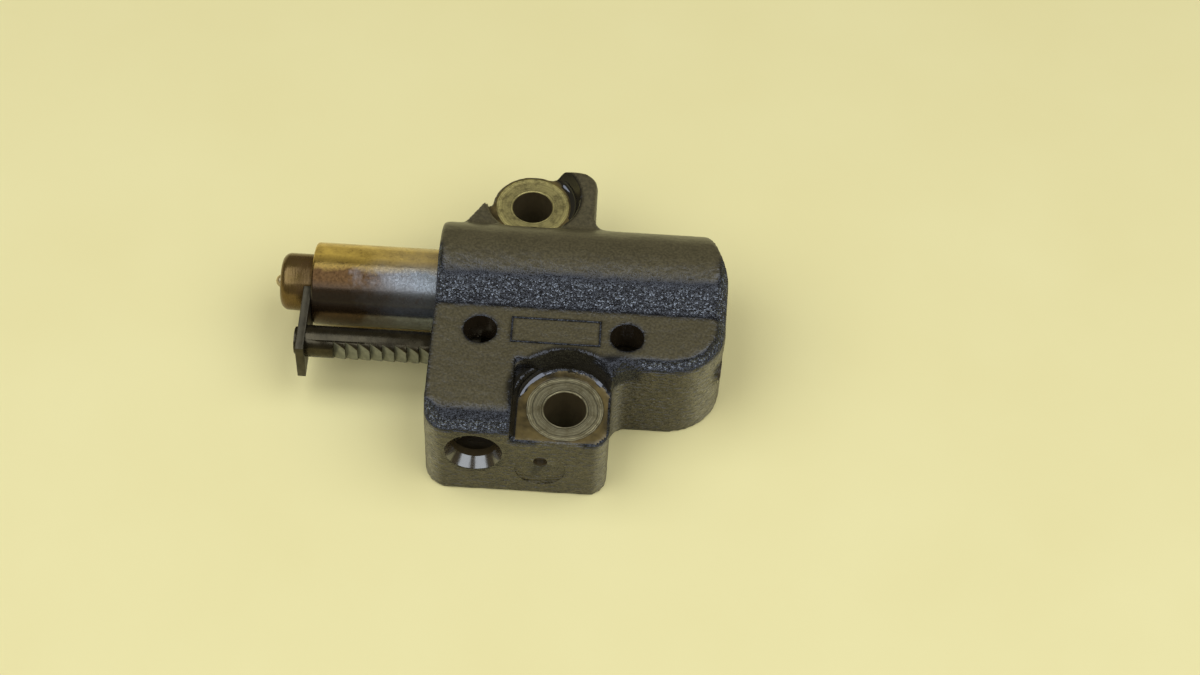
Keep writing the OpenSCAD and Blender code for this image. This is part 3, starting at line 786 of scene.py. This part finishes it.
def plunger_skin():
    """Ground steel, a soft mirror: a painted golden reflection of the yellow table along its top, brown
    varnish at the outer end, a painted dark reflection along its lower front that eases off towards the
    bottom, and blue grey bare metal between them, with fine scratches around it."""
    material, tree, shader, mm = surface("varnished_steel_painted_reflections")
    place = add(tree, "ShaderNodeSeparateXYZ", {0: mm})
    patch = add(tree, "ShaderNodeTexNoise", {"Vector": mm, "Scale": 0.28, "Detail": 6.0, "Roughness": 0.65})
    uneven = add(
        tree,
        "ShaderNodeMath",
        {0: patch.outputs["Fac"], 1: 1.0, 2: -0.5},
        operation="MULTIPLY_ADD",
    )
    outer = add(
        tree,
        "ShaderNodeMapRange",
        {"Value": place.outputs["X"], 1: -38.0, 2: -23.0, 3: 1.3, 4: 0.0},
    )
    tip = add(tree, "ShaderNodeMapRange", {"Value": place.outputs["X"], 1: -47.4, 2: -47.0})
    worn = add(
        tree,
        "ShaderNodeMath",
        {0: outer.outputs["Result"], 1: uneven.outputs[0]},
        operation="ADD",
        use_clamp=True,
    )
    brown = add(
        tree,
        "ShaderNodeMath",
        {0: worn.outputs[0], 1: tip.outputs["Result"]},
        operation="MULTIPLY",
    )
    steel = add(
        tree,
        "ShaderNodeMix",
        {0: brown.outputs[0], 6: linear("#989ea6"), 7: linear("#4b3722")},
        data_type="RGBA",
    )
    # painted dark reflection: the lower front is darkened from Z 15.6 mm down to 14 mm, and the darkening
    # eases off below 12.8 mm
    dark_reflection_band = add(
        tree,
        "ShaderNodeMapRange",
        {"Value": place.outputs["Z"], 1: 15.6, 2: 14.0, 3: 0.0, 4: 0.78},
    )
    dark_reflection_fade = add(tree, "ShaderNodeMapRange", {"Value": place.outputs["Z"], 1: 11.0, 2: 12.8, 3: 0.3, 4: 1.0})
    low = add(
        tree,
        "ShaderNodeMath",
        {0: dark_reflection_band.outputs["Result"], 1: dark_reflection_fade.outputs["Result"]},
        operation="MULTIPLY",
    )
    with_dark_reflection = add(
        tree,
        "ShaderNodeMix",
        {0: low.outputs[0], 6: steel.outputs[2], 7: linear("#2b261f")},
        data_type="RGBA",
    )
    # painted reflection: the top and back, from Y 22.5 mm to 25.4 mm with a wavy edge, are turned golden in
    # patches, like the yellow table mirrored in them
    wavy = add(
        tree,
        "ShaderNodeMath",
        {0: uneven.outputs[0], 1: 3.0, 2: place.outputs["Y"]},
        operation="MULTIPLY_ADD",
    )
    top_reflection_mask = add(tree, "ShaderNodeMapRange", {"Value": wavy.outputs[0], 1: 22.5, 2: 25.4})
    reflection_patches = add(tree, "ShaderNodeMapRange", {"Value": uneven.outputs[0], 1: -0.25, 2: 0.25, 3: 1.0, 4: 0.55})
    painted_table_reflection = add(
        tree,
        "ShaderNodeMath",
        {0: top_reflection_mask.outputs["Result"], 1: reflection_patches.outputs["Result"]},
        operation="MULTIPLY",
    )
    tone = add(
        tree,
        "ShaderNodeMix",
        {0: painted_table_reflection.outputs[0], 6: with_dark_reflection.outputs[2], 7: linear("#dab655")},
        data_type="RGBA",
    )
    rust = add(tree, "ShaderNodeTexNoise", {"Vector": mm, "Scale": 0.9, "Detail": 6.0, "Roughness": 0.75})
    spots = add(
        tree,
        "ShaderNodeMapRange",
        {"Value": rust.outputs["Fac"], 1: 0.56, 2: 0.72, 3: 0.0, 4: 0.75},
    )
    colour = add(
        tree,
        "ShaderNodeMix",
        {0: spots.outputs["Result"], 6: tone.outputs[2], 7: linear("#3f2c18")},
        data_type="RGBA",
    )
    # where either painted reflection lies, the steel is shown less metallic
    film = add(tree, "ShaderNodeMath", {0: low.outputs[0], 1: painted_table_reflection.outputs[0]}, operation="MAXIMUM")
    metal = add(tree, "ShaderNodeMapRange", {"Value": film.outputs[0], 3: 1.0, 4: 0.25})
    fine = add(tree, "ShaderNodeTexNoise", {"Vector": mm, "Scale": 2.4, "Detail": 3.0, "Roughness": 0.7})
    speck = add(
        tree,
        "ShaderNodeMapRange",
        {"Value": fine.outputs["Fac"], 1: 0.35, 2: 0.65, 3: 0.7, 4: 1.25},
    )
    specked = add(
        tree,
        "ShaderNodeMix",
        {0: metal.outputs["Result"], 6: colour.outputs[2], 7: speck.outputs["Result"]},
        data_type="RGBA",
        blend_type="MULTIPLY",
    )
    thin = add(tree, "ShaderNodeVectorMath", {0: mm, 1: (9.0, 0.6, 0.6)}, operation="MULTIPLY")
    scratch = add(
        tree,
        "ShaderNodeTexNoise",
        {"Vector": thin.outputs["Vector"], "Scale": 1.0, "Detail": 3.0},
    )
    dull = add(tree, "ShaderNodeMapRange", {"Value": patch.outputs["Fac"], 1: 0.3, 2: 0.7, 3: 0.16, 4: 0.3})
    bump = add(
        tree,
        "ShaderNodeBump",
        {"Height": scratch.outputs["Fac"], "Strength": 0.12, "Distance": 0.00005},
    )
    tree.links.new(specked.outputs[2], shader.inputs["Base Color"])
    tree.links.new(metal.outputs["Result"], shader.inputs["Metallic"])
    tree.links.new(dull.outputs["Result"], shader.inputs["Roughness"])
    tree.links.new(bump.outputs["Normal"], shader.inputs["Normal"])
    return material


# from the small dome at the tip along the spigot, the shoulder and the skirt, and back up the hollow
piston = turned(
    arc(-47.35, 0, 1.1, 180, 90)
    + [(-46.2, 1.1), (-46.15, 1.2), (-46.15, 2.3), (-45.95, 2.5), (-42.0, 2.5)]
    + arc(-41.5, 6.15, 0.5, 180, 90)
    + arc(-3.1, 6.15, 0.5, 90, 0)
    + [(-2.6, 5.2), (-2.9, 4.9), (-38.0, 4.9), (-38.0, 0)]
)
plunger = finished("plunger_turned", piston, plunger_skin())
shaded(plunger, 40)
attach(plunger, "plunger")
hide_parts("plunger")


# Nose cap. A turned and hardened steel cap on the plunger's spigot, browned by oil.
# It touches the tensioner arm, and a slot in its back holds the link plate's eye.
def oiled_steel(name, low, high, patch, marks, roughness, depth=0.25, metallic=1.0):
    """Steel in two tones that change over patches of a size in millimetres, with tool marks whose
    density along X, Y and Z is given in marks a millimetre."""
    material, tree, shader, mm = surface(name, metallic=metallic)
    cloud = add(
        tree,
        "ShaderNodeTexNoise",
        {"Vector": mm, "Scale": 1 / patch, "Detail": 5.0, "Roughness": 0.62},
    )
    share = add(tree, "ShaderNodeMapRange", {"Value": cloud.outputs["Fac"], 1: 0.32, 2: 0.68})
    tone = add(
        tree,
        "ShaderNodeMix",
        {0: share.outputs["Result"], 6: linear(low), 7: linear(high)},
        data_type="RGBA",
    )
    pulled = add(tree, "ShaderNodeVectorMath", {0: mm, 1: marks}, operation="MULTIPLY")
    lines = add(
        tree,
        "ShaderNodeTexNoise",
        {"Vector": pulled.outputs["Vector"], "Scale": 1.0, "Detail": 3.0},
    )
    dull = add(
        tree,
        "ShaderNodeMapRange",
        {"Value": lines.outputs["Fac"], 1: 0.3, 2: 0.7, 3: roughness * 0.8, 4: roughness * 1.25},
    )
    bump = add(
        tree,
        "ShaderNodeBump",
        {"Height": lines.outputs["Fac"], "Strength": depth, "Distance": 0.00008},
    )
    tree.links.new(tone.outputs[2], shader.inputs["Base Color"])
    tree.links.new(dull.outputs["Result"], shader.inputs["Roughness"])
    tree.links.new(bump.outputs["Normal"], shader.inputs["Normal"])
    return material


def eased(name, mesh, width, *materials):
    """Finishes a solid's copy with small rounded edges and smooth sides."""
    bmesh.ops.dissolve_limit(mesh, angle_limit=math.radians(1), verts=mesh.verts, edges=mesh.edges)
    piece = finished(name, mesh, *materials)
    rounding = piece.modifiers.new("rounded_edges", "BEVEL")
    rounding.width = width * MM
    rounding.segments = 2
    rounding.limit_method = "ANGLE"
    rounding.angle_limit = math.radians(35)
    baked(piece)
    shaded(piece, 35)
    return piece


nose = eased(
    "nose_cap_turned",
    merged("nose_cap"),
    0.2,
    oiled_steel("browned_turned_steel", "#69542a", "#71593a", 3.0, (6, 0.5, 0.5), 0.24, metallic=0.7),
)
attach(nose, "plunger")
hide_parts("nose_cap")


# Link plate. Flat steel blanked from sheet, held in the cap against the plunger's shoulder;
# the rack's neck is riveted through its lower end. Its edges are rolled over by the press.
plate = eased(
    "link_plate_blanked",
    merged("link_plate"),
    0.16,
    oiled_steel("oiled_sheet_steel", "#332e23", "#4b4535", 2.0, (1.5, 1.5, 1.5), 0.36, metallic=0.7),
)
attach(plate, "plunger")
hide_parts("link_plate")


# Ratchet rack. A round steel rod, dark with oil; saw teeth are milled across its front
# and their flanks are bare grey metal.
TEETH = (-37.4, -14.2)
TOOTH_ROOT_Y = 11.7

rack = eased(
    "ratchet_rack_milled",
    merged("ratchet_rack"),
    0.07,
    oiled_steel("oiled_steel_rod", "#2d281d", "#474030", 2.5, (0.9, 0.9, 0.9), 0.26, metallic=0.8),
    oiled_steel("milled_tooth_flank", "#66665c", "#848476", 1.2, (1, 1, 5), 0.4, metallic=0.5),
)
for face in rack.data.polygons:
    x, y = face.center.xy / MM
    upright = face.normal.y < -0.8 and abs(face.normal.z) < 0.05
    if upright and y < TOOTH_ROOT_Y and TEETH[0] < x < TEETH[1]:
        face.material_index = 1
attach(rack, "plunger")
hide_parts("ratchet_rack")


# Springs. Oil tempered wire, drawn and coiled: the long one pushes the plunger out, one closes the ball
# valve, and one turns the pawl. Each is listed with the joint of the piece that it presses, that joint's
# axis, its fixed end and the share of its length it keeps, but here it only gets its own copy of the mesh;
# nothing shortens it.
spring_wire = oiled_steel("oil_tempered_wire", "#4f4a40", "#837c6c", 1.5, (2, 2, 2), 0.32)
for node, joint, axis, anchor, keep in (
    ("plunger_spring", "plunger_slide", (1, 0, 0), (17.4, PLUNGER_Y, AXIS_Z), 0.645),
    ("check_spring", "check_ball_lift", (1, 0, 0), (13.6, PLUNGER_Y, AXIS_Z), 0.7),
    ("pawl_spring", "pawl_pivot", (0, 1, 0), (-17.1, -3.65, AXIS_Z), 0.93),
):
    spring = finished(f"{node}_wire", merged(node), spring_wire)
    shaded(spring, 60)
    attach(spring, "housing")
    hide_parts(node)
    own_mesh(spring)


# Pawl and its pin. The pawl is milled from hardened steel and drops into the rack's teeth;
# it turns on a ground pin that is pressed in from the mounting face.
pawl = eased(
    "pawl_milled",
    merged("pawl"),
    0.12,
    oiled_steel("hardened_milled_steel", "#4b453a", "#70695a", 1.5, (3, 0.8, 0.8), 0.34),
)
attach(pawl, "pawl")
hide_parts("pawl")
ground_steel = oiled_steel("ground_bright_steel", "#8f8e88", "#b5b4ae", 1.5, (1, 1, 6), 0.2)
pin = eased("pawl_pin_ground", merged("pawl_pin"), 0.15, ground_steel)
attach(pin, "housing")
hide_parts("pawl_pin")


# Ball valve. A ground seat disc closes the bore's end, a pressed cup holds a ball against
# its hole, and oil comes in through it as the plunger goes out.
pressed_steel = oiled_steel("pressed_bright_sheet", "#85817a", "#aaa69c", 1.2, (2, 2, 2), 0.3)
for node, width, finish in (("valve_seat", 0.12, ground_steel), ("valve_cage", 0.08, pressed_steel)):
    piece = eased(f"{node}_finished", merged(node), width, finish)
    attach(piece, "housing")
    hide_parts(node)
ball = finished("check_ball_ground", merged("check_ball"), ground_steel)
shaded(ball, 60)
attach(ball, "check_ball")
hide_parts("check_ball")


# Floor and light. A pale yellow table between two cool softboxes, left and right of the camera,
# in a dim warm room. Sizes here are in metres.
FLOOR_REACH = 3.0
SOFTBOX_SIZE = (0.85, 0.95)
SOFTBOX_WATTS = 6.2
SOFTBOX_TINT = (0.86, 0.93, 1.0)
SOFTBOX_ASIDE = 0.53
SOFTBOX_FORWARD = -0.22
SOFTBOX_HEIGHT = 0.62
ROOM_LIGHT = 0.2

floor_mesh = bmesh.new()
bmesh.ops.create_grid(floor_mesh, x_segments=1, y_segments=1, size=FLOOR_REACH)
table, table_tree, table_shader, table_mm = surface("pale_table_paper", roughness=0.75)
fibre = add(table_tree, "ShaderNodeTexNoise", {"Vector": table_mm, "Scale": 0.03, "Detail": 3.0})
shade = add(
    table_tree,
    "ShaderNodeMix",
    {0: fibre.outputs["Fac"], 6: linear("#e7d99c"), 7: linear("#ede1a7")},
    data_type="RGBA",
)
table_tree.links.new(shade.outputs[2], table_shader.inputs["Base Color"])
floor = finished("floor", floor_mesh, table)

for side in (-1, 1):
    softbox = bpy.data.objects.new(f"softbox_{side}", bpy.data.lights.new(f"softbox_{side}", "AREA"))
    softbox.data.shape = "RECTANGLE"
    softbox.data.size, softbox.data.size_y = SOFTBOX_SIZE
    softbox.data.energy = SOFTBOX_WATTS
    softbox.data.color = SOFTBOX_TINT
    softbox.location = (side * SOFTBOX_ASIDE, SOFTBOX_FORWARD, SOFTBOX_HEIGHT)
    bpy.context.scene.collection.objects.link(softbox)

world = bpy.data.worlds.new("room")
bpy.context.scene.world = world
world.use_nodes = True
world.node_tree.nodes["Background"].inputs["Color"].default_value = linear("#e0d3ab")
world.node_tree.nodes["Background"].inputs["Strength"].default_value = ROOM_LIGHT
bpy.context.scene.view_settings.view_transform = "Standard"
